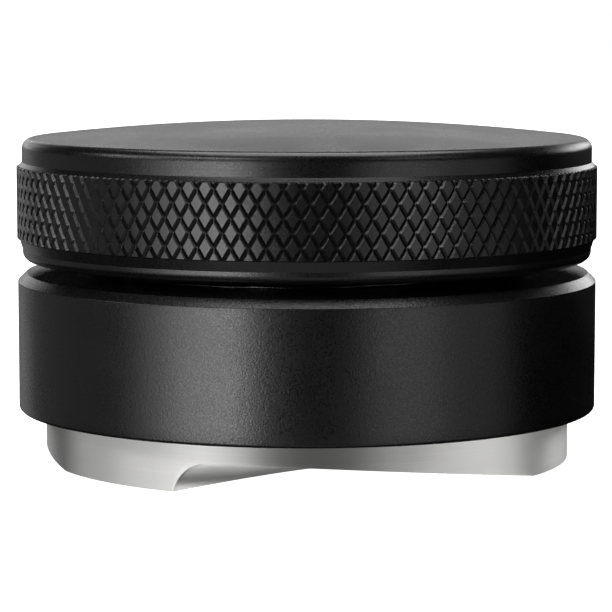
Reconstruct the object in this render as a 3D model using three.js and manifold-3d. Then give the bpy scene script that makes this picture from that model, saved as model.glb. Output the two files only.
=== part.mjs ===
// A palm-held coffee distributor: a knurled cap and a three-bladed steel base on one threaded core,
// and a collar that screws along the core to set how far the blades reach into the basket.
// Millimetres, +Z up. The origin is on the axis, on the level of the blades' flat lands.
import * as THREE from "three";
import { mergeVertices } from "three/addons/utils/BufferGeometryUtils.js";
import Module from "manifold-3d";

// ---- Driving dimensions ----------------------------------------------------------------------

// Clearances
const slideClearance = 0.3; // base in the collar's skirt, and screws in their holes
const threadClearance = 0.14; // along the axis, on each flank of the adjusting thread
const ringClearance = 0.15; // round the two rubber rings
const stopClearance = 0.3; // what is left between the collar and its stops
const seatGap = 0.05; // between faces that bear on each other

// Blade base
const baseDiameter = 58; // a 58 mm filter basket takes it
const baseThickness = 9.8;
const bladeCount = 3;
const bladePhase = -8; // degrees from +X to the first blade's wall
const rampSlope = 9; // degrees
const rampTurn = 22.5; // degrees from the blade's wall to the ramp's fall line
const rampStart = 8.9; // from the axis to the line where a ramp leaves the land
const wallOffset = 4.8; // from the axis to a blade's wall
const cutterRadius = 4; // ball-ended cutter that leaves the hollow at the wall's foot
const baseEdge = 0.3;

// Adjusting collar
const skirtWall = 2.65;
const collarHeight = 15;
const collarSetting = 5.5; // the collar's foot above the blades' lands, as set
const collarTravelDown = 3;
const collarBevelWidth = 0.95;
const collarBevelHeight = 0.9;
const collarFootEdge = 0.35;
const collarLip = 1.2; // over the friction ring's groove

// Palm cap
const capGap = 1.4; // between collar and cap, as set
const capHeight = 13.35; // to the start of the dome
const capInset = 0.55; // the plain bands lie this far inside the collar
const capDome = 1.7;
const capTopRound = 1.1;
const capFootRound = 1;
const knurlRise = 0.6;
const knurlLow = 2.5; // from the cap's foot to the knurled band
const knurlWidth = 7.75;
const knurlLowBevel = 1.2;
const knurlHighBevel = 0.55;

// Threaded core
const coreDiameter = 42;
const pitch = 1.5;
const coreSpigot = 3.1; // how far the core enters the cap
const threadRelief = 0.5;

// Rubber rings
const frictionCord = 1.6;
const sealCord = 1.4;
const sealLand = 0.8; // steel above the seal's groove

// Stop washer
const stopThickness = 0.5;
const stopWidth = 3;

// Stud and its lock washer
const studDiameter = 10;
const studInBase = 6;
const studInCore = 11;
const studSocket = 5; // across flats
const studLockWidth = 3.9;
const studLockThickness = 2.2;

// Cap screws and their lock washers
const screwCount = 4;
const screwDiameter = 3;
const screwHeadDiameter = 5.5;
const screwHeadHeight = 3;
const screwSocket = 2.5; // across flats
const screwInCap = 6;
const screwSink = 0.5; // head below the core's foot
const screwLockThickness = 0.8;
const washerSplit = 1.2; // the slot through a spring washer, in its own thickness or so

// Facets
const roundSteps = 64;
const threadSteps = 32;
const holeSteps = 16;
const cordSteps = 6;
const filletSteps = 3;
const domeSteps = 3;

// ---- Places that follow from them ------------------------------------------------------------

const baseRadius = baseDiameter / 2;
const skirtBore = baseRadius + slideClearance;
const collarRadius = skirtBore + skirtWall;
const collarTop = collarSetting + collarHeight;
const skirtRoof = baseThickness + collarTravelDown + stopClearance;
const capFoot = collarTop + capGap;
const capRadius = collarRadius - capInset;
const knurlRadius = capRadius + knurlRise;
const capRim = capFoot + capHeight;

const coreRadius = coreDiameter / 2;
const threadCrest = pitch / 8;
const threadDepth = 0.6134 * pitch; // 60 degree metric form
const flank = Math.tan(THREE.MathUtils.degToRad(30));
const coreRoot = coreRadius - threadDepth;
const coreFoot = baseThickness + seatGap;
const coreTop = capFoot + coreSpigot - seatGap;
const collarMinor = coreRoot + slideClearance;
const collarMajor = coreRadius + slideClearance;

const frictionGap = frictionCord + 2 * ringClearance;
const frictionTop = collarTop - collarLip;
const frictionRadius = coreRadius + ringClearance + frictionCord / 2;
const sealTop = baseThickness - sealLand;
const sealGap = sealCord + 2 * ringClearance;
const sealRadius = skirtBore - ringClearance - sealCord / 2;

const stopTop = capFoot - seatGap;
const stopFoot = stopTop - stopThickness;
const stopBore = coreRadius + ringClearance;

const studRadius = studDiameter / 2;
const studBore = studRadius + slideClearance;
const studLockRadius = studBore + studLockWidth;
const studLockSeat = studLockRadius + slideClearance;
const screwRadius = screwDiameter / 2;
const screwBore = screwRadius + slideClearance / 2;
const screwHeadRadius = screwHeadDiameter / 2;
const screwSeat = screwHeadRadius + slideClearance;
const screwCircle = (studLockSeat + coreRoot) / 2;
const screwHeadFoot = coreFoot + screwSink;
const screwHeadTop = screwHeadFoot + screwHeadHeight;
const screwLockTop = screwHeadTop + 2 * seatGap + screwLockThickness;
const capRecess = coreTop + seatGap;

// ---- Solids ----------------------------------------------------------------------------------

const wasm = await Module();
wasm.setup();

function solid(geometry) {
  const bare = geometry.clone();
  bare.deleteAttribute("normal");
  bare.deleteAttribute("uv");
  const merged = mergeVertices(bare, 1e-4);
  const mesh = new wasm.Mesh({
    numProp: 3,
    vertProperties: merged.attributes.position.array,
    triVerts: new Uint32Array(merged.index.array),
  });
  return new wasm.Manifold(mesh);
}

function geometryOf(body) {
  const { vertProperties, triVerts } = body.getMesh();
  const geometry = new THREE.BufferGeometry();
  geometry.setAttribute("position", new THREE.BufferAttribute(vertProperties, 3));
  geometry.setIndex(new THREE.BufferAttribute(triVerts, 1));
  const faceted = geometry.toNonIndexed();
  faceted.computeVertexNormals();
  return faceted;
}

// A profile of [radius, z] points turned about Z. It starts and ends on the axis, or it is a ring.
function turned(profile, steps = roundSteps) {
  const points = profile.map(([r, z]) => new THREE.Vector2(r, z));
  const ring = points[0].x > 0;
  if (THREE.ShapeUtils.area(points) < 0) points.reverse();
  if (ring) points.push(points[0].clone());
  return new THREE.LatheGeometry(points, steps).rotateX(Math.PI / 2);
}

function disc(radius, low, high, steps = roundSteps) {
  return turned([[0, low], [radius, low], [radius, high], [0, high]], steps);
}

// Points on an arc about [r, z], from one angle to another in degrees.
function arc(r, z, radius, from, to, steps = filletSteps) {
  return Array.from({ length: steps + 1 }, (_, i) => {
    const a = THREE.MathUtils.degToRad(from + ((to - from) * i) / steps);
    return [r + radius * Math.cos(a), z + radius * Math.sin(a)];
  });
}

// A trapezium carried along a right-hand helix whose middle passes through height 0 at +X.
// halfWidth(r) is half the trapezium's width along the axis at radius r.
function helix(inner, outer, halfWidth, low, high) {
  const first = Math.floor((low / pitch - 1) * threadSteps);
  const last = Math.ceil((high / pitch + 1) * threadSteps);
  const section = [
    [inner, -halfWidth(inner)],
    [outer, -halfWidth(outer)],
    [outer, halfWidth(outer)],
    [inner, halfWidth(inner)],
  ];
  const sides = section.length;
  const positions = [];
  const faces = [];
  for (let i = first; i <= last; i++) {
    const turn = (2 * Math.PI * i) / threadSteps;
    for (const [r, dz] of section)
      positions.push(r * Math.cos(turn), r * Math.sin(turn), (pitch * i) / threadSteps + dz);
  }
  const rings = last - first;
  for (let i = 0; i < rings; i++)
    for (let j = 0; j < sides; j++) {
      const a = i * sides + j;
      const b = i * sides + ((j + 1) % sides);
      faces.push(a, b + sides, b, a, a + sides, b + sides);
    }
  const end = rings * sides;
  faces.push(0, 1, 2, 0, 2, 3, end, end + 2, end + 1, end, end + 3, end + 2);
  const geometry = new THREE.BufferGeometry();
  geometry.setAttribute("position", new THREE.Float32BufferAttribute(positions, 3));
  geometry.setIndex(faces);
  const body = solid(geometry);
  return body.intersect(solid(disc(2 * outer, low, high)));
}

function hexSocket(acrossFlats, low, high) {
  const corner = acrossFlats / 2 / Math.cos(Math.PI / 6);
  return new THREE.CylinderGeometry(corner, corner, high - low, 6)
    .rotateX(Math.PI / 2)
    .translate(0, 0, (low + high) / 2);
}

// A flat ring with one slanting slot, as a spring washer lies when it is tightened.
function springWasher(bore, radius, low, high) {
  const height = high - low;
  const ring = turned([[bore, low], [radius, low], [radius, high], [bore, high]], 2 * holeSteps);
  const slot = new THREE.BoxGeometry(2 * radius, washerSplit * Math.min(1, height), 4 * height)
    .rotateX(Math.PI / 6)
    .translate(radius + bore / 2, 0, (low + high) / 2);
  return geometryOf(solid(ring).subtract(solid(slot)));
}

// ---- Sub-parts -------------------------------------------------------------------------------

// One pocket's cutter: below a sloping ramp, and up to a wall whose foot a ball-ended cutter left.
function bladeCutter() {
  const reach = 2 * baseRadius;
  const shape = new THREE.Shape();
  shape.moveTo(0, -reach);
  shape.lineTo(reach, -reach);
  shape.lineTo(reach, 0);
  shape.lineTo(cutterRadius, 0);
  shape.absarc(cutterRadius, -cutterRadius, cutterRadius, Math.PI / 2, Math.PI, false);
  shape.closePath();
  const block = new THREE.ExtrudeGeometry(shape, {
    depth: 2 * reach,
    bevelEnabled: false,
    curveSegments: 2 * filletSteps,
  }).translate(0, 0, -reach);

  const rise = Math.tan(THREE.MathUtils.degToRad(rampSlope));
  const fall = THREE.MathUtils.degToRad(rampTurn);
  const uphill = new THREE.Vector3(Math.cos(fall), Math.sin(fall), 0);
  const normal = new THREE.Vector3(0, 0, 1).addScaledVector(uphill, -rise).normalize();
  const along = new THREE.Vector3(1, 0, rise * uphill.x).normalize();
  const across = new THREE.Vector3().crossVectors(normal, along);
  const middle = wallOffset + cutterRadius;
  const origin = new THREE.Vector3(0, middle, rise * (middle * uphill.y - rampStart));
  origin.addScaledVector(across, -cutterRadius);
  const place = new THREE.Matrix4().makeBasis(across, normal, along).setPosition(origin);
  return block.applyMatrix4(place);
}

function bladeBase() {
  const grooveRadius = sealRadius - sealCord / 2 - seatGap;
  let body = solid(
    turned([
      [0, 0],
      [baseRadius - baseEdge / 2, 0],
      [baseRadius, baseEdge / 2],
      [baseRadius, sealTop - sealGap],
      [grooveRadius, sealTop - sealGap],
      [grooveRadius, sealTop],
      [baseRadius, sealTop],
      [baseRadius, baseThickness - baseEdge],
      [baseRadius - baseEdge, baseThickness],
      [0, baseThickness],
    ]),
  );
  for (let i = 0; i < bladeCount; i++) {
    const turn = THREE.MathUtils.degToRad(bladePhase + (360 * i) / bladeCount);
    body = body.subtract(solid(bladeCutter().rotateZ(turn)));
  }
  const holeFoot = baseThickness - studInBase - slideClearance;
  return geometryOf(body.subtract(solid(disc(studBore, holeFoot, capRim, holeSteps))));
}

function coreHub() {
  const threadFoot = coreFoot + threadRelief;
  const registerFoot = stopFoot - seatGap;
  let body = solid(
    turned(
      [
        [0, coreFoot],
        [coreRoot, coreFoot],
        [coreRoot, registerFoot],
        [coreRadius, registerFoot],
        [coreRadius, coreTop - baseEdge],
        [coreRadius - baseEdge, coreTop],
        [0, coreTop],
      ],
      threadSteps,
    ),
  );
  const halfWidth = (r) => threadCrest / 2 + (coreRadius - r) * flank;
  const buried = threadDepth / 4;
  body = body.add(helix(coreRoot - buried, coreRadius, halfWidth, threadFoot, registerFoot + seatGap));
  body = body.subtract(solid(disc(studBore, 0, capRim, holeSteps)));
  const lockSeatTop = coreFoot + studLockThickness + seatGap;
  body = body.subtract(solid(disc(studLockSeat, 0, lockSeatTop, 2 * holeSteps)));
  body = drilled(body, screwBore, capRim);
  return geometryOf(drilled(body, screwSeat, screwLockTop));
}

function depthCollar() {
  const body = solid(
    turned([
      [skirtBore + baseEdge, collarSetting],
      [collarRadius - collarFootEdge, collarSetting],
      [collarRadius, collarSetting + collarFootEdge],
      [collarRadius, collarTop - collarBevelHeight],
      [collarRadius - collarBevelWidth, collarTop],
      [collarMajor + baseEdge, collarTop],
      [collarMajor, collarTop - baseEdge],
      [collarMajor, frictionTop],
      [frictionRadius + frictionCord / 2 + ringClearance, frictionTop],
      [frictionRadius + frictionCord / 2 + ringClearance, frictionTop - frictionGap],
      [collarMinor, frictionTop - frictionGap],
      [collarMinor, skirtRoof],
      [skirtBore, skirtRoof],
      [skirtBore, collarSetting + baseEdge],
    ]),
  );
  const halfWidth = (r) => threadCrest / 2 + (coreRadius - r) * flank + threadClearance;
  const inside = collarMinor - threadDepth / 4;
  const low = skirtRoof - pitch;
  const high = frictionTop - frictionGap / 2;
  return geometryOf(body.subtract(helix(inside, collarMajor, halfWidth, low, high)));
}

function palmCap() {
  const topMiddle = capRim - capTopRound;
  const dome = Array.from({ length: domeSteps }, (_, i) => {
    const share = 1 - (i + 1) / domeSteps;
    return [(capRadius - capTopRound) * share, capRim + capDome * (1 - share * share)];
  });
  const knurlFoot = capFoot + knurlLow;
  const outside = [
    [0, capFoot],
    ...arc(capRadius - capFootRound, capFoot + capFootRound, capFootRound, -90, 0),
    [capRadius, knurlFoot - knurlLowBevel],
    [knurlRadius, knurlFoot],
    [knurlRadius, knurlFoot + knurlWidth],
    [capRadius, knurlFoot + knurlWidth + knurlHighBevel],
    ...arc(capRadius - capTopRound, topMiddle, capTopRound, 0, 90),
    ...dome,
  ];
  let body = solid(turned(outside));
  body = body.subtract(solid(disc(coreRadius + slideClearance / 2, 0, capRecess)));
  return geometryOf(drilled(body, screwBore, capRecess + screwInCap + slideClearance));
}

function rubberRing(radius, cord, middle) {
  return turned(arc(radius, middle, cord / 2, 0, 360 - 360 / cordSteps, cordSteps - 1));
}

function baseStud() {
  const low = baseThickness - studInBase;
  const high = baseThickness + studInCore;
  const bolt = turned(
    [
      [0, low],
      [studRadius - baseEdge, low],
      [studRadius, low + baseEdge],
      [studRadius, high - baseEdge],
      [studRadius - baseEdge, high],
      [0, high],
    ],
    holeSteps,
  );
  const socket = hexSocket(studSocket, high - studSocket, high + studSocket);
  return geometryOf(solid(bolt).subtract(solid(socket)));
}

function capScrew() {
  const tip = capRecess + screwInCap;
  const screw = turned(
    [
      [0, screwHeadFoot],
      [screwHeadRadius - baseEdge, screwHeadFoot],
      [screwHeadRadius, screwHeadFoot + baseEdge],
      [screwHeadRadius, screwHeadTop],
      [screwRadius, screwHeadTop],
      [screwRadius, tip - baseEdge],
      [screwRadius - baseEdge, tip],
      [0, tip],
    ],
    holeSteps,
  );
  const socketTop = screwHeadFoot + screwHeadHeight / 2;
  return geometryOf(solid(screw).subtract(solid(hexSocket(screwSocket, 0, socketTop))));
}

function screwTurns() {
  return Array.from({ length: screwCount }, (_, i) => (2 * Math.PI * (i + 0.5)) / screwCount);
}

// A body with one hole from below for each cap screw, up to the height top.
function drilled(body, radius, top) {
  let rest = body;
  for (const turn of screwTurns()) {
    const hole = disc(radius, 0, top, holeSteps).translate(screwCircle, 0, 0).rotateZ(turn);
    rest = rest.subtract(solid(hole));
  }
  return rest;
}

// ---- Assembly --------------------------------------------------------------------------------

const blackAnodised = { color: 0x0b0b0c, roughness: 0.42, metalness: 0.9 };
const turnedSteel = { color: 0xb9b9b7, roughness: 0.28, metalness: 1 };
const zincSteel = { color: 0x9a9c9e, roughness: 0.35, metalness: 1 };
const blackRubber = { color: 0x101010, roughness: 0.8, metalness: 0 };
const blackNylon = { color: 0x141414, roughness: 0.6, metalness: 0 };

const distributor = new THREE.Group();

function add(name, geometry, finish) {
  const mesh = new THREE.Mesh(geometry, new THREE.MeshStandardMaterial(finish));
  mesh.name = name;
  distributor.add(mesh);
  return mesh;
}

add("palm_cap", palmCap(), blackAnodised);
add("core_hub", coreHub(), blackAnodised);
add("depth_collar", depthCollar(), blackAnodised);
add("blade_base", bladeBase(), turnedSteel);
add("base_stud", baseStud(), zincSteel);
add(
  "stud_lock_washer",
  springWasher(studBore, studLockRadius, coreFoot, coreFoot + studLockThickness),
  zincSteel,
);
add(
  "stop_washer",
  turned([
    [stopBore, stopFoot],
    [stopBore + stopWidth, stopFoot],
    [stopBore + stopWidth, stopTop],
    [stopBore, stopTop],
  ]),
  blackNylon,
);
add("friction_ring", rubberRing(frictionRadius, frictionCord, frictionTop - frictionGap / 2), blackRubber);
add("wiper_seal", rubberRing(sealRadius, sealCord, sealTop - sealGap / 2), blackRubber);
screwTurns().forEach((turn, i) => {
  const x = screwCircle * Math.cos(turn);
  const y = screwCircle * Math.sin(turn);
  add(`cap_screw_${i + 1}`, capScrew(), zincSteel).position.set(x, y, 0);
  const washer = springWasher(
    screwBore,
    screwHeadRadius,
    screwHeadTop + seatGap,
    screwHeadTop + seatGap + screwLockThickness,
  );
  add(`screw_lock_washer_${i + 1}`, washer, zincSteel).position.set(x, y, 0);
});

export default distributor;
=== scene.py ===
"""A palm coffee distributor: knurled black cap, satin black collar and three-bladed steel base."""

import math

import bpy
import numpy as np
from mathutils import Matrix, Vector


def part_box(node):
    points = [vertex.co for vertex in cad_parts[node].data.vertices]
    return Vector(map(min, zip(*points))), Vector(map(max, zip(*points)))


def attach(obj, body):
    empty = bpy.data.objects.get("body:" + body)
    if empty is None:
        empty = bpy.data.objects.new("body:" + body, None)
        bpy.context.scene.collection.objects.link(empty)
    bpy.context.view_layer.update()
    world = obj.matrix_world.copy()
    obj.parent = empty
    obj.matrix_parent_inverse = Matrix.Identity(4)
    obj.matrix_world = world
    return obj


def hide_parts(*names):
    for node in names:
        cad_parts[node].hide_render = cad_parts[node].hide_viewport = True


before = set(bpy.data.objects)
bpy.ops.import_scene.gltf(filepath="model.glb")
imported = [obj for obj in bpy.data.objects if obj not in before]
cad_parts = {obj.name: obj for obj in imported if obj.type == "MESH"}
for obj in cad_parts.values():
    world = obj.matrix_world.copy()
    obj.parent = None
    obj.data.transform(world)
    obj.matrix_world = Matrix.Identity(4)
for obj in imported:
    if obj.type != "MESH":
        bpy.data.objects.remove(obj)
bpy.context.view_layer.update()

MM = 0.001  # sizes below are in millimetres, and meshes in metres
TURN = 2 * math.pi

# ---- Camera ----------------------------------------------------------------------------------

CAMERA_PLACE = (-0.10, -306.4, 50.24)
CAMERA_PITCH = -6.3  # degrees
LENS = 162.86

camera = bpy.data.objects.new("camera", bpy.data.cameras.new("camera"))
bpy.context.collection.objects.link(camera)
camera.location = [MM * v for v in CAMERA_PLACE]
camera.rotation_euler = (math.radians(90 + CAMERA_PITCH), 0, 0)
camera.data.lens = LENS
camera.data.clip_start = 0.01
camera.data.clip_end = 50
bpy.context.scene.camera = camera

# ---- Sizes -----------------------------------------------------------------------------------


def box_mm(node):
    """Lowest and highest corner of a CAD node, in millimetres."""
    low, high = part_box(node)
    return np.array(low) / MM, np.array(high) / MM


cap_low, cap_high = box_mm("palm_cap")
collar_low, collar_high = box_mm("depth_collar")
_, base_high = box_mm("blade_base")
core_low, core_high = box_mm("core_hub")
stop_low, stop_high = box_mm("stop_washer")
friction_low, friction_high = box_mm("friction_ring")
seal_low, seal_high = box_mm("wiper_seal")
stud_low, stud_high = box_mm("base_stud")

SEAT_GAP = 0.05  # between faces that bear on each other
RING_CLEARANCE = 0.15  # round the rings, the stop washer and the core's register
SLIDE_CLEARANCE = 0.3
EDGE = 0.3  # bevel of a turned edge
LONGEST = 1.5  # straight stretch of a lathed profile

# ---- Surfaces --------------------------------------------------------------------------------


def arc(r, z, radius, start, end, steps=8):
    """Points on a circle about (r, z) in the profile's plane, from one angle to another, degrees."""
    a = np.radians(np.linspace(start, end, steps + 1))
    return np.stack([r + radius * np.cos(a), z + radius * np.sin(a)], 1)


def chain(*runs):
    """Joins points and runs of points into one profile of (radius, z) rows."""
    return np.vstack([np.atleast_2d(np.asarray(run, float)) for run in runs])


def add_mesh(name, points, quads, triangles, finish, smooth_below=30):
    """Makes a mesh object from points in millimetres, turned outward, with edges sharper than
    smooth_below degrees kept crisp."""
    corners = points[triangles] if len(triangles) else np.zeros((0, 3, 3))
    if len(quads):
        corners = np.vstack([corners, points[quads[:, :3]], points[quads[:, [0, 2, 3]]]])
    volume = np.einsum("ij,ij->i", corners[:, 0], np.cross(corners[:, 1], corners[:, 2])).sum()
    if volume < 0:
        quads, triangles = quads[:, ::-1], triangles[:, ::-1]
    mesh = bpy.data.meshes.new(name)
    mesh.vertices.add(len(points))
    mesh.vertices.foreach_set("co", (points * MM).ravel())
    loops = np.concatenate([quads.ravel(), triangles.ravel()]).astype(np.int32)
    starts = np.concatenate(
        [4 * np.arange(len(quads)), 4 * len(quads) + 3 * np.arange(len(triangles))]
    ).astype(np.int32)
    mesh.loops.add(len(loops))
    mesh.loops.foreach_set("vertex_index", loops)
    mesh.polygons.add(len(starts))
    mesh.polygons.foreach_set("loop_start", starts)
    mesh.update(calc_edges=True)
    mesh.validate()
    mesh.polygons.foreach_set("use_smooth", np.ones(len(mesh.polygons), bool))
    if smooth_below < 180:
        mesh.set_sharp_from_angle(angle=math.radians(smooth_below))
    mesh.materials.append(finish)
    piece = bpy.data.objects.new(name, mesh)
    bpy.context.collection.objects.link(piece)
    return piece


def revolved(name, radius, turn, height, finish, closed_ring=False, smooth_below=30):
    """A surface round the axis. Rows run along the profile and columns round the axis; each point
    is (radius cos turn, radius sin turn, height). The first and last rows are poles on the axis,
    or with closed_ring the last row joins the first."""
    rows, columns = radius.shape
    grid = np.stack([radius * np.cos(turn), radius * np.sin(turn), height], 2)
    index = np.arange(rows * columns).reshape(rows, columns)
    beside = np.roll(index, -1, 1)
    if closed_ring:
        above, beside_above = np.roll(index, -1, 0), np.roll(beside, -1, 0)
        quads = np.stack([index, beside, beside_above, above], 2).reshape(-1, 4)
        return add_mesh(
            name, grid.reshape(-1, 3), quads, np.zeros((0, 3), int), finish, smooth_below
        )
    # The pole rows shrink to one point each.
    points = np.vstack([grid[1:-1].reshape(-1, 3), grid[0, :1], grid[-1, :1]])
    index = index[: rows - 2]
    beside = beside[: rows - 2]
    quads = np.stack([index[:-1], beside[:-1], beside[1:], index[1:]], 2).reshape(-1, 4)
    first, last = len(points) - 2, len(points) - 1
    foot = np.stack([np.full(columns, first), beside[0], index[0]], 1)
    head = np.stack([np.full(columns, last), index[-1], beside[-1]], 1)
    return add_mesh(name, points, quads, np.vstack([foot, head]), finish, smooth_below)


def lathed(name, profile, finish, columns=288, closed_ring=False, smooth_below=30):
    """A profile of (radius, z) rows carried round the axis."""
    turn = np.arange(columns) * TURN / columns
    radius = np.repeat(profile[:, :1], columns, 1)
    height = np.repeat(profile[:, 1:], columns, 1)
    turn = np.repeat(turn[None], len(profile), 0)
    return revolved(name, radius, turn, height, finish, closed_ring, smooth_below)


def finer(profile, longest):
    """The profile with its long straight runs divided, so that shading stays even."""
    rows = [profile[:1]]
    for a, b in zip(profile[:-1], profile[1:]):
        parts = max(1, int(math.ceil(np.linalg.norm(b - a) / longest)))
        share = np.linspace(0, 1, parts + 1)[1:, None]
        rows.append(a + (b - a) * share)
    return np.vstack(rows)


# ---- Finishes --------------------------------------------------------------------------------

NOISE_SPAN = (0.3, 0.7)


class Nodes:
    """A material's node tree, with short calls for the nodes used here."""

    def __init__(self, name):
        self.material = bpy.data.materials.new(name)
        self.material.use_nodes = True
        self.tree = self.material.node_tree
        self.shader = self.tree.nodes["Principled BSDF"]
        self.place = self.tree.nodes.new("ShaderNodeTexCoord").outputs["Object"]

    def add(self, kind, inputs=(), **settings):
        node = self.tree.nodes.new(kind)
        for key, value in settings.items():
            setattr(node, key, value)
        for key, value in dict(inputs).items():
            if isinstance(value, bpy.types.NodeSocket):
                self.tree.links.new(value, node.inputs[key])
            else:
                node.inputs[key].default_value = value
        return node

    def noise(self, size_mm, detail=2.0, stretch=(1, 1, 1)):
        """Noise with features of about that size, drawn out along an axis by stretch."""
        mapping = self.add(
            "ShaderNodeMapping",
            {"Vector": self.place, "Scale": [1 / (size_mm * MM * s) for s in stretch]},
        )
        node = self.add(
            "ShaderNodeTexNoise",
            {"Vector": mapping.outputs[0], "Scale": 1.0, "Detail": detail},
        )
        return node.outputs["Fac"]

    def spread(self, noise, low, high):
        """Noise, most of which lies within NOISE_SPAN, carried to low to high."""
        start, end = NOISE_SPAN
        node = self.add(
            "ShaderNodeMapRange",
            {"Value": noise, "From Min": start, "From Max": end, "To Min": low, "To Max": high},
        )
        return node.outputs[0]

    def math(self, operation, a, b):
        return self.add("ShaderNodeMath", {0: a, 1: b}, operation=operation).outputs[0]

    def grey(self, value, tint=(1, 1, 1)):
        """A colour whose brightness is value."""
        node = self.add("ShaderNodeCombineColor")
        for channel, share in enumerate(tint):
            self.tree.links.new(self.math("MULTIPLY", value, share), node.inputs[channel])
        return node.outputs[0]

    def set(self, **inputs):
        names = {k.replace("_", " ").title().replace("Ior", "IOR"): v for k, v in inputs.items()}
        for key, value in names.items():
            if isinstance(value, bpy.types.NodeSocket):
                self.tree.links.new(value, self.shader.inputs[key])
            else:
                self.shader.inputs[key].default_value = value

    def relief(self, value, depth_mm, under=None):
        """A bump of that depth, on top of the one under it."""
        inputs = {"Height": value, "Distance": depth_mm * MM, "Strength": 1.0}
        if under is not None:
            inputs["Normal"] = under
        return self.add("ShaderNodeBump", inputs).outputs[0]


def black_anodising(name, blast_mm, lines_mm, glints):
    """Aluminium dyed black, slightly cloudy in tone and gloss: bead-blasted, or turned, by how deep
    the grain of the one and the lines of the other are. The grain's glints are a change of gloss."""
    n = Nodes(name)
    cloud = n.noise(9, 3)
    blast = n.noise(0.17, 1)
    pits = n.noise(0.4, 1)
    line = n.noise(0.09, 3, stretch=(300, 300, 1))
    tone = n.math("ADD", n.spread(cloud, 0.003, 0.005), n.spread(blast, -0.0008, 0.001))
    gloss = n.math("ADD", n.spread(cloud, 0.28, 0.33), n.spread(blast, -glints, glints))
    n.set(base_color=n.grey(tone, (1, 1, 1.04)), roughness=gloss, ior=1.6)
    grain = n.relief(pits, 0.4 * blast_mm, n.relief(blast, blast_mm))
    n.set(normal=n.relief(line, lines_mm, grain))
    return n.material


def turned_steel():
    """Satin stainless steel with the fine rings of a lathe, which draw its glints out upright."""
    n = Nodes("turned_steel")
    cloud = n.noise(6, 3)
    line = n.noise(0.05, 3, stretch=(400, 400, 1))
    grain = n.noise(0.12, 3)
    tone = n.math("ADD", n.spread(cloud, 0.60, 0.66), n.spread(line, -0.03, 0.03))
    gloss = n.math("ADD", n.spread(cloud, 0.56, 0.61), n.spread(grain, -0.03, 0.03))
    n.set(base_color=n.grey(tone, (1, 0.995, 0.985)), metallic=1.0, roughness=gloss)
    round_axis = n.add("ShaderNodeTangent", direction_type="RADIAL", axis="Z")
    n.set(anisotropic=0.95, anisotropic_rotation=0.25, tangent=round_axis.outputs[0])
    n.set(normal=n.relief(grain, 0.002, n.relief(line, 0.0015)))
    return n.material


def plain_finish(name, tone, gloss, grain_mm, relief_mm, metallic=0.0):
    """A finish with a grain and a slow change of tone and gloss, each given as (low, high)."""
    n = Nodes(name)
    cloud = n.noise(5, 3)
    grain = n.noise(grain_mm, 3)
    shade = n.math("ADD", n.spread(cloud, *tone), n.spread(grain, -0.1 * tone[0], 0.1 * tone[1]))
    n.set(base_color=n.grey(shade), metallic=metallic, roughness=n.spread(cloud, *gloss))
    n.set(normal=n.relief(grain, relief_mm))
    return n.material


BLASTED = black_anodising("black_anodising_blasted", 0.017, 0.0005, 0.06)
TURNED = black_anodising("black_anodising_turned", 0.009, 0.010, 0.04)
STEEL = turned_steel()
ZINC = plain_finish("zinc_plate", (0.5, 0.58), (0.3, 0.42), 0.2, 0.004, 1.0)
RUBBER = plain_finish("black_rubber", (0.012, 0.02), (0.6, 0.75), 0.15, 0.01)
NYLON = plain_finish("black_nylon", (0.015, 0.022), (0.42, 0.55), 0.2, 0.006)

# ---- Palm cap --------------------------------------------------------------------------------

KNURL_RISE = 0.6  # from the plain bands to the crest
DOME_RISE = 1.7
CAP_BAND = cap_high[0] - KNURL_RISE  # radius of the plain bands
CAP_RIM = cap_high[2] - DOME_RISE
CAP_FOOT = cap_low[2]
CAP_TOP_ROUND = 1.1
CAP_FOOT_ROUND = 1.0
KNURL_FOOT = CAP_FOOT + 1.3  # where the lower bevel starts
KNURL_LOW = CAP_FOOT + 2.5  # the crest, between the two bevels
KNURL_HIGH = CAP_FOOT + 10.25
KNURL_TOP = CAP_FOOT + 10.8
KNURL_DEPTH = 0.26
KNURL_STEP = 0.12  # height of the steep step from the crest into each bevel
KNURL_SEAT = 0.3  # depth of the cap's seat for the knurled band
KNURL_BACK = 0.2  # how far the band reaches into that seat
KNURL_AROUND = 112
KNURL_ROWS = 63  # steps up the crest
KNURL_STEPS = 24  # steps in a knurl's width or height
KNURL_GROOVE = 4  # steps from a groove's bottom to its edge
KNURL_LIFT = 2  # steps from the middle of a row of knurls up to the crest's foot
KNURL_SHIFT = 5  # steps by which the knurls are turned
RECESS = core_high[0] + RING_CLEARANCE
RECESS_TOP = core_high[2] + SEAT_GAP


def knurl_radius(steps_round, steps_up):
    """Radius of the knurled band. Two sets of V grooves wind opposite ways, each at its deepest
    where the steps round and up add to, or differ by, a whole number of knurls."""
    up = steps_up + KNURL_LIFT
    slant = np.stack([steps_round + up, steps_round - up]) / KNURL_STEPS
    away = np.abs(slant - np.round(slant)) * KNURL_STEPS
    return cap_high[0] - KNURL_DEPTH * np.clip(1 - away / KNURL_GROOVE, 0, 1).max(0)


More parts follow.
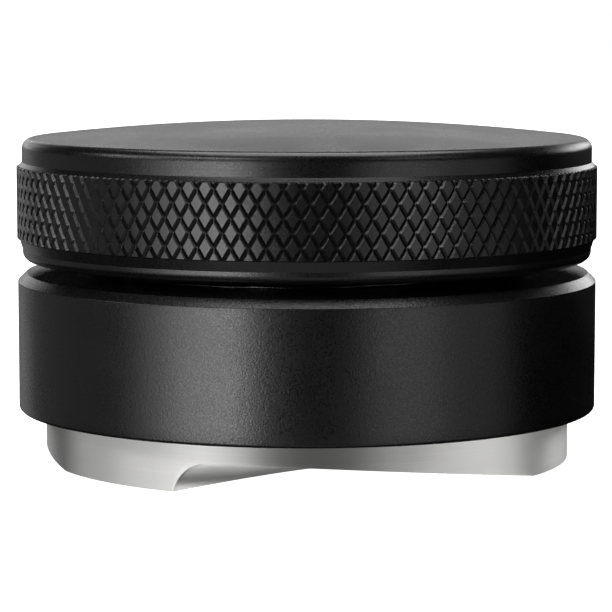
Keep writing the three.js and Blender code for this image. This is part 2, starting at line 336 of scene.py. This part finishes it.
def knurled_band():
    """The grooved crest on a lattice of small rhombi, whose sides run along both sets of grooves,
    a bevel below and above that cuts the grooves off, and a plain ring behind."""
    around = KNURL_AROUND * KNURL_STEPS // 2
    up, across = np.meshgrid(np.arange(KNURL_ROWS + 1), np.arange(around), indexing="ij")
    steps_round = 2 * across + up % 2
    turn = (steps_round + KNURL_SHIFT) * TURN / (2 * around)
    radius = knurl_radius(steps_round, up)
    z = KNURL_LOW + (KNURL_HIGH - KNURL_LOW) * up / KNURL_ROWS
    # A short steep step takes each bevel in as deep as the grooves.
    low_cut, high_cut = KNURL_LOW - KNURL_STEP, KNURL_HIGH + KNURL_STEP
    floor_radius = cap_high[0] - KNURL_DEPTH
    back = CAP_BAND - KNURL_BACK
    rings = (
        (KNURL_HIGH, None, -1),
        (high_cut, floor_radius, -1),
        (KNURL_TOP, CAP_BAND, -1),
        (KNURL_TOP, back, -1),
        (KNURL_FOOT, back, 0),
        (KNURL_FOOT, CAP_BAND, 0),
        (low_cut, floor_radius, 0),
        (KNURL_LOW, None, 0),
    )
    outer = np.stack([radius * np.cos(turn), radius * np.sin(turn), z], 2).reshape(-1, 3)
    index = np.arange(len(outer)).reshape(-1, around)
    points, rows = [outer], []
    for level, ring_radius, row in rings:
        if ring_radius is None:
            rows.append(index[row])
            continue
        rows.append(sum(len(p) for p in points) + np.arange(around))
        corner = [ring_radius * np.cos(turn[row]), ring_radius * np.sin(turn[row])]
        points.append(np.stack([*corner, np.full(around, level)], 1))
    odd = (np.arange(1, KNURL_ROWS) % 2)[:, None]
    middle = index[1:-1]
    # A rhomb for each point of a row, its left corner. Its foot and head lean with the row.
    foot = np.where(odd, np.roll(index[:-2], -1, 1), index[:-2])
    head = np.where(odd, np.roll(index[2:], -1, 1), index[2:])
    quads = [np.stack([middle, foot, np.roll(middle, -1, 1), head], 2).reshape(-1, 4)]
    low_fill = np.stack([index[0], np.roll(index[0], -1), index[1]], 1)
    high_fill = np.stack([index[-1], np.roll(index[-2], -1), np.roll(index[-1], -1)], 1)
    for a, b in zip(rows[:-1], rows[1:]):
        quads.append(np.stack([a, np.roll(a, -1), np.roll(b, -1), b], 1))
    fills = np.vstack([low_fill, high_fill])
    return add_mesh("cap_knurl", np.vstack(points), np.vstack(quads), fills, TURNED, 20)


def cap_body():
    """The cap without its knurl: foot round, plain bands, top round and a shallow parabolic dome."""
    across = np.linspace(1, 0, 25)[1:, None]
    reach = CAP_BAND - CAP_TOP_ROUND
    dome = np.hstack([reach * across, CAP_RIM + DOME_RISE * (1 - across**2)])
    profile = chain(
        (0, RECESS_TOP),
        (RECESS, RECESS_TOP),
        (RECESS, CAP_FOOT + EDGE),
        (RECESS + EDGE, CAP_FOOT),
        arc(CAP_BAND - CAP_FOOT_ROUND, CAP_FOOT + CAP_FOOT_ROUND, CAP_FOOT_ROUND, -90, 0, 12),
        (CAP_BAND, KNURL_FOOT),
        (CAP_BAND - KNURL_SEAT, KNURL_FOOT),
        (CAP_BAND - KNURL_SEAT, KNURL_TOP),
        (CAP_BAND, KNURL_TOP),
        arc(reach, CAP_RIM - CAP_TOP_ROUND, CAP_TOP_ROUND, 0, 90, 14),
        dome,
    )
    return lathed("cap_body", finer(profile, LONGEST), TURNED)


for piece in (cap_body(), knurled_band()):
    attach(piece, "handle")
    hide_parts("palm_cap")

# ---- Threaded core ---------------------------------------------------------------------------

PITCH = 1.5
THREAD_DEPTH = 0.92
THREAD_TOP = stop_low[2] - SEAT_GAP
THREAD_RELIEF = 0.5  # plain core at the thread's foot
THREAD_TOP_RELIEF = 0.15
THREAD_FADE = 0.25  # height in which the thread rises from the plain core
FLANK = math.radians(30)


def core():
    """The core: below the register its radius is a 60 degree thread, a function of how far the
    height is from the helix that climbs one pitch a turn."""
    columns = 256
    crest = core_high[0]
    root = crest - THREAD_DEPTH
    low, high = core_low[2], THREAD_TOP
    levels = np.linspace(low, high, 161)
    turn = np.arange(columns) * TURN / columns
    z = levels[:, None] + 0 * turn
    off = (z - PITCH * turn / TURN) / PITCH
    off = np.abs(off - np.round(off)) * PITCH
    flat = PITCH / 16  # half the crest's width
    ridge = np.clip(THREAD_DEPTH - (off - flat) / math.tan(FLANK), 0, THREAD_DEPTH)
    inside = np.minimum(z - low - THREAD_RELIEF, high - THREAD_TOP_RELIEF - z)
    fade = np.clip(inside / THREAD_FADE, 0, 1)
    wall = root + ridge * fade
    ends = chain(
        (crest, high),
        (crest, core_high[2] - EDGE),
        (crest - EDGE, core_high[2]),
        (0, core_high[2]),
    )
    radius = np.vstack([np.zeros((1, columns)), wall, np.repeat(ends[:, :1], columns, 1)])
    height = np.vstack([np.full((1, columns), low), z, np.repeat(ends[:, 1:], columns, 1)])
    turn = np.repeat(turn[None], len(radius), 0)
    return revolved("core", radius, turn, height, TURNED, smooth_below=50)


threaded_core = core()
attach(threaded_core, "handle")
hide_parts("core_hub")

# ---- Collar ----------------------------------------------------------------------------------

COLLAR_FOOT, COLLAR_TOP = collar_low[2], collar_high[2]
COLLAR_RADIUS = collar_high[0]
COLLAR_TRAVEL = 3.0  # downward
SKIRT_BORE = seal_high[0] + RING_CLEARANCE
SKIRT_ROOF = base_high[2] + COLLAR_TRAVEL + SLIDE_CLEARANCE
BEVEL_FOOT = 0.95  # below the collar's top, less the edge's round
BEVEL_REACH = 0.97  # inside the collar's wall, to the middle of the upper edge's round
BEVEL_EDGE = 0.12
COLLAR_FOOT_ROUND = 0.35


def collar():
    """The collar: a plain wall, a broad bevel at its top, a fine round at its foot, and the
    friction ring's groove in its bore."""
    bore = core_high[0] + SLIDE_CLEARANCE
    groove = friction_high[0] + RING_CLEARANCE
    groove_low = friction_low[2] - RING_CLEARANCE
    groove_high = friction_high[2] + RING_CLEARANCE
    foot_round = COLLAR_FOOT_ROUND
    profile = chain(
        (SKIRT_BORE, SKIRT_ROOF),
        (SKIRT_BORE, COLLAR_FOOT + EDGE),
        (SKIRT_BORE + EDGE, COLLAR_FOOT),
        arc(COLLAR_RADIUS - foot_round, COLLAR_FOOT + foot_round, foot_round, -90, 0, 6),
        arc(COLLAR_RADIUS - BEVEL_EDGE, COLLAR_TOP - BEVEL_FOOT, BEVEL_EDGE, 0, 45, 4),
        arc(COLLAR_RADIUS - BEVEL_REACH, COLLAR_TOP - BEVEL_EDGE, BEVEL_EDGE, 45, 90, 4),
        (bore + EDGE, COLLAR_TOP),
        (bore, COLLAR_TOP - EDGE),
        (bore, groove_high),
        (groove, groove_high),
        (groove, groove_low),
        (bore, groove_low),
        (bore, SKIRT_ROOF),
    )
    return lathed("collar", finer(profile, LONGEST), BLASTED, closed_ring=True)


satin_collar = collar()
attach(satin_collar, "collar")
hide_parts("depth_collar")

# ---- Blade base ------------------------------------------------------------------------------

BLADES = 3
BLADE_PHASE = -8.0  # degrees from +X to the first blade's wall
RAMP_SLOPE = 9.0
RAMP_TURN = 22.5
RAMP_START = 8.9
WALL_OFFSET = 4.8
CUTTER_RADIUS = 4.0
BASE_RADIUS = base_high[0]
RIM_EDGE = 0.12
SEAL_CORD = 1.4
SEAL_GROOVE = seal_high[0] - SEAL_CORD - SEAT_GAP  # radius of the groove's floor
STUD_BORE = stud_high[0] + SLIDE_CLEARANCE
STUD_HOLE_FOOT = stud_low[2] - SLIDE_CLEARANCE


def pocket_height(radius, turn):
    """Height of the underside, for turn measured from the wall's direction. It is the ramp's plane
    less the ball-ended cutter's hollow at the wall's foot, and nowhere below the land."""
    along, off = radius * np.cos(turn), radius * np.sin(turn)
    lean = math.radians(RAMP_TURN)
    climb = along * math.cos(lean) + off * math.sin(lean) - RAMP_START
    past = np.clip(off - WALL_OFFSET, 0, CUTTER_RADIUS)
    hollow = CUTTER_RADIUS - np.sqrt(CUTTER_RADIUS**2 - (CUTTER_RADIUS - past) ** 2)
    height = math.tan(math.radians(RAMP_SLOPE)) * climb - hollow
    return np.where(off > WALL_OFFSET, np.clip(height, 0, None), 0)


def blade_columns(radii):
    """Turn of each column at each radius: columns gather on a pocket's wall, hollow, ramp and land,
    whose ends are found where the underside leaves the land."""
    fine = np.linspace(0, TURN / BLADES, 12001)
    cut = pocket_height(radii[:, None], fine[None]) > 1e-6
    some = cut.any(1)
    wall = np.where(some, fine[cut.argmax(1)], np.nan)
    end = np.where(some, fine[len(fine) - 1 - cut[:, ::-1].argmax(1)], np.nan)
    first = np.argmax(some)
    wall[:first], end[:first] = wall[first], end[first]
    hollow = np.arcsin(np.clip((WALL_OFFSET + CUTTER_RADIUS) / radii, 0, 1))
    hollow = np.clip(hollow, wall + 0.02, end - 0.01)
    hollow = np.maximum(hollow, wall + 0.02)
    end = np.maximum(end, hollow + 0.02)
    stops = np.stack([wall, hollow, end, wall + TURN / BLADES], 1)
    counts = (28, 44, 40)
    runs = []
    for i, count in enumerate(counts):
        share = np.arange(count) / count
        if i == 0:
            share = share**1.6  # closest on the steep wall
        runs.append(stops[:, i, None] + (stops[:, i + 1] - stops[:, i])[:, None] * share)
    return np.hstack(runs)


def blade_base():
    """The steel base: the ramped underside on rings from the axis to the rim, then the rim, the
    seal's groove and the top."""
    plain_land = np.linspace(2, RAMP_START + 0.1, 6)
    ramps = np.linspace(RAMP_START + 0.6, BASE_RADIUS - RIM_EDGE, 56)
    radii = np.concatenate([[1e-6], plain_land, ramps])
    local = blade_columns(radii)
    under = pocket_height(radii[:, None], local)
    rim_turn = local[-1]
    rim_under = pocket_height(BASE_RADIUS, rim_turn)
    a = np.radians(np.array([25.0, 50.0, 75.0, 90.0]))[:, None]
    edge_r = BASE_RADIUS - RIM_EDGE * (1 - np.sin(a)) + 0 * rim_turn
    edge_z = rim_under + RIM_EDGE * (1 - np.cos(a))
    foot = edge_z[-1]
    rise = np.linspace(0, 1, 8)[1:, None]
    groove_low = seal_low[2] - RING_CLEARANCE
    groove_high = seal_high[2] + RING_CLEARANCE
    wall_z = foot + (groove_low - foot) * rise
    wall_r = np.full_like(wall_z, BASE_RADIUS)
    top = base_high[2]
    upper = chain(
        (SEAL_GROOVE, groove_low),
        (SEAL_GROOVE, groove_high),
        (BASE_RADIUS, groove_high),
        (BASE_RADIUS, top - EDGE),
        (BASE_RADIUS - EDGE, top),
        (STUD_BORE, top),
        (STUD_BORE, STUD_HOLE_FOOT),
        (0, STUD_HOLE_FOOT),
    )
    columns = BLADES * len(rim_turn)

    def thrice(rows):
        return np.hstack([rows] * BLADES)

    def all_round(rows):
        return np.hstack([rows + i * TURN / BLADES for i in range(BLADES)])

    def in_all_columns(values):
        return np.repeat(values[:, None], columns, 1)

    radius = np.vstack(
        [in_all_columns(radii), thrice(edge_r), thrice(wall_r), in_all_columns(upper[:, 0])]
    )
    height = np.vstack(
        [thrice(under), thrice(edge_z), thrice(wall_z), in_all_columns(upper[:, 1])]
    )
    rim_rows = len(radius) - len(radii)
    turn = np.vstack([all_round(local), np.repeat(all_round(rim_turn[None]), rim_rows, 0)])
    turn = turn + math.radians(BLADE_PHASE)
    return revolved("blade_base_steel", radius, turn, height, STEEL)


steel_base = blade_base()
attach(steel_base, "handle")
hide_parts("blade_base")

# ---- Rings and washers -----------------------------------------------------------------------


def cord_ring(name, low, high, body):
    """A rubber ring: a circle carried round the axis."""
    cord = (high[2] - low[2]) / 2
    profile = arc(high[0] - cord, (high[2] + low[2]) / 2, cord, 0, 360 - 360 / 16, 15)
    ring = lathed(name + "_rubber", profile, RUBBER, 192, True, 180)
    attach(ring, body)
    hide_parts(name)


cord_ring("friction_ring", friction_low, friction_high, "ring_carrier")
cord_ring("wiper_seal", seal_low, seal_high, "handle")

STOP_BORE = core_high[0] + RING_CLEARANCE
STOP_ROUND = 0.15
stop = lathed(
    "stop_washer_nylon",
    chain(
        (STOP_BORE, stop_low[2]),
        arc(stop_high[0] - STOP_ROUND, stop_low[2] + STOP_ROUND, STOP_ROUND, -90, 0, 3),
        arc(stop_high[0] - STOP_ROUND, stop_high[2] - STOP_ROUND, STOP_ROUND, 0, 90, 3),
        (STOP_BORE, stop_high[2]),
    ),
    NYLON,
    closed_ring=True,
)
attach(stop, "handle")
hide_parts("stop_washer")

for name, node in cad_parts.items():
    if name.startswith(("cap_screw", "screw_lock", "base_stud", "stud_lock")):
        node.data.materials.clear()
        node.data.materials.append(ZINC)

# ---- Studio ----------------------------------------------------------------------------------

LIGHT_DISTANCE = 1.0
LIGHT_HEIGHT = 0.018  # of the point that the lights face
FLOOR = 12.0  # half the floor's width

# Each light: name, azimuth, elevation, width and height in degrees as the object sees them, and
# glow. Azimuth 0 is the camera's side, and + is its right.
STUDIO_LIGHTS = (
    ("key_left", -60, -6, 15, 26, 1.1),
    ("key", -45, -6, 15, 26, 3.4),
    ("key_right", -30, -6, 15, 26, 5.2),
    ("key_high", -42, 37, 29, 12, 4.6),
    ("key_high_left", -78, 27, 27, 12, 3.6),
    ("fill_high", 48, 37, 24, 12, 1.8),
    ("fill_left", 30, -6, 15, 26, 1.1),
    ("fill", 45, -6, 15, 26, 1.0),
    ("fill_right", 68, -6, 28, 26, 0.4),
    ("side_left", -105, -6, 60, 26, 0.15),
    ("rim_left", -150, -4, 23, 26, 0.4),
    ("glow_front", 0, -40, 65, 30, 0.3),
    ("back_right", 145, 14, 30, 14, 3.8),
    ("back", 180, 14, 30, 14, 0.95),
    ("back_left", -156, 11, 24, 16, 1.1),
    ("overhead", 180, 80, 48, 48, 3.4),
)

# Light that a white table throws up.
TABLE_LIGHTS = (
    ("table_far_left", -105, -17, 36, 28, 1.8),
    ("table_left", -72, -17, 30, 28, 3.1),
    ("table_key", -48, -17, 18, 28, 4.8),
    ("table_fill", 45, -17, 24, 28, 1.9),
    ("table_right", 80, -17, 46, 28, 4.3),
    ("table_far_right", 122, -17, 38, 28, 0.9),
    ("table_under", 0, -50, 48, 30, 0.45),
)

# The table's light reaches the steel alone: on the black parts it would be a glare.
table_light_on = bpy.data.collections.new("table_light_on")
table_light_on.objects.link(steel_base)


def softbox(name, azimuth, elevation, wide, tall, glow, reaches=None):
    """A rectangular light facing the object, which reaches everything or one collection. Its side
    is twice its distance times the tangent of half its angle, and its watts are pi times its glow
    times its area."""
    light = bpy.data.lights.new(name, "AREA")
    light.shape = "RECTANGLE"
    light.size = 2 * LIGHT_DISTANCE * math.tan(math.radians(wide / 2))
    light.size_y = 2 * LIGHT_DISTANCE * math.tan(math.radians(tall / 2))
    light.energy = math.pi * glow * light.size * light.size_y
    a, e = math.radians(azimuth), math.radians(elevation)
    holder = bpy.data.objects.new(name, light)
    bpy.context.collection.objects.link(holder)
    away = np.array([math.sin(a) * math.cos(e), -math.cos(a) * math.cos(e), math.sin(e)])
    holder.location = away * LIGHT_DISTANCE + (0, 0, LIGHT_HEIGHT)
    holder.rotation_euler = (math.radians(90 - elevation), 0, math.radians(azimuth))
    holder.visible_camera = False
    if reaches is not None:
        holder.light_linking.receiver_collection = reaches


for light in STUDIO_LIGHTS:
    softbox(*light)
for light in TABLE_LIGHTS:
    softbox(*light, reaches=table_light_on)


def pale_floor():
    """A matt, nearly white table with a faint unevenness, clear to an eye below it."""
    n = Nodes("pale_floor")
    seen = n.add("ShaderNodeLightPath").outputs["Is Camera Ray"]
    tone = n.spread(n.noise(60, 2), 0.88, 0.92)
    n.set(base_color=n.grey(tone), roughness=0.9)
    n.set(emission_color=(1, 1, 1, 1), emission_strength=seen)
    below = n.add("ShaderNodeNewGeometry").outputs["Backfacing"]
    clear = n.add("ShaderNodeBsdfTransparent").outputs[0]
    sides = n.add("ShaderNodeMixShader", {0: below})
    n.tree.links.new(n.shader.outputs[0], sides.inputs[1])
    n.tree.links.new(clear, sides.inputs[2])
    n.tree.links.new(sides.outputs[0], n.tree.nodes["Material Output"].inputs["Surface"])
    return n.material


floor_mesh = bpy.data.meshes.new("floor")
floor_corners = [(-FLOOR, -FLOOR, 0), (FLOOR, -FLOOR, 0), (FLOOR, FLOOR, 0), (-FLOOR, FLOOR, 0)]
floor_mesh.from_pydata(floor_corners, [], [(0, 1, 2, 3)])
floor_mesh.materials.append(pale_floor())
floor = bpy.data.objects.new("floor", floor_mesh)
bpy.context.collection.objects.link(floor)
# The floor is only seen: it neither shades the object nor throws light back on it.
floor.visible_diffuse = floor.visible_glossy = floor.visible_shadow = False

SKY_SEEN = 1.1  # brightness of the backdrop to the camera. It lights nothing.
world = bpy.data.worlds.new("studio")
world.use_nodes = True
bpy.context.scene.world = world
sky = world.node_tree.nodes["Background"]
sky.inputs["Color"].default_value = (1, 1, 1, 1)
seen = world.node_tree.nodes.new("ShaderNodeLightPath").outputs["Is Camera Ray"]
lift = world.node_tree.nodes.new("ShaderNodeMapRange")
lift.inputs["To Min"].default_value = 0.0
lift.inputs["To Max"].default_value = SKY_SEEN
world.node_tree.links.new(seen, lift.inputs["Value"])
world.node_tree.links.new(lift.outputs[0], sky.inputs["Strength"])
bpy.context.scene.view_settings.view_transform = "Standard"
